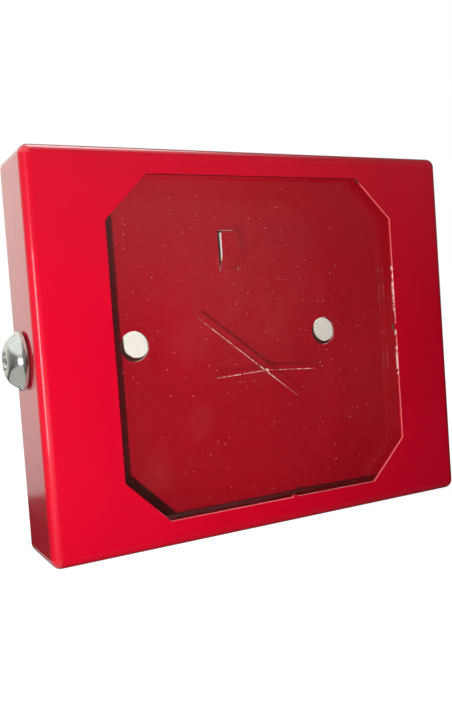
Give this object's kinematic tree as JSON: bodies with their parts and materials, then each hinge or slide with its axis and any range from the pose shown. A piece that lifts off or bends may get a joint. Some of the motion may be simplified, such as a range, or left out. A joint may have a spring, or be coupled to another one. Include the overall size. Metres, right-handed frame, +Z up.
{
  "type": "break glass key box",
  "caption": "Flat wall box for one emergency key: steel cover with a cut-corner window and clear pane, tray with lanced hook, side security screw.",
  "frame": {"origin": "centre of the back plate's rear face, on the wall plane", "axes": "+X to the right seen from the front, +Y into the wall (the window faces -Y), +Z up"},
  "size_m": [0.1554, 0.025, 0.12],
  "materials": {
    "red_paint": "glossy smooth red powder coat",
    "clear_glass": "clear glossy pane with a scored cross",
    "black_foam": "matt foam strip",
    "zinc_screw": "bright zinc plate, polished dome",
    "zinc_fixings": "dull zinc plate",
    "black_washer": "matt dark washer"
  },
  "bodies": {
    "tray": {"back_tray": "red_paint", "screw_nut": "zinc_fixings"},
    "cover": {"cover": "red_paint", "pane": "clear_glass", "gasket_left": "black_foam", "gasket_right": "black_foam", "gasket_top": "black_foam", "gasket_bottom": "black_foam", "clip_top_left": "zinc_fixings", "clip_top_right": "zinc_fixings", "clip_bottom_left": "zinc_fixings", "clip_bottom_right": "zinc_fixings", "clip_studs": "zinc_fixings", "clip_washers": "zinc_fixings", "clip_nuts": "zinc_fixings"},
    "washer": {"screw_washer": "black_washer"},
    "screw": {"side_screw": "zinc_screw"}
  },
  "joints": [
    {"name": "cover_swing", "type": "hinge", "parent": "tray", "child": "cover", "pos_m": [0.0744, -0.0052, 0], "axis": [0, 0, 1], "range_deg": [0, 15]},
    {"name": "screw_back_off", "type": "slide", "parent": "tray", "child": "washer", "axis": [-1, 0, 0], "range_m": [0, 0.0076]},
    {"name": "screw_turn", "type": "hinge", "parent": "washer", "child": "screw", "pos_m": [-0.0757, -0.0098, -0.0004], "axis": [-1, 0, 0], "range_deg": [0, 2160]}
  ],
  "couplings": [
    {"joint": "screw_back_off", "follows": "screw_turn", "m_per_rad": 0.00019894}
  ]
}
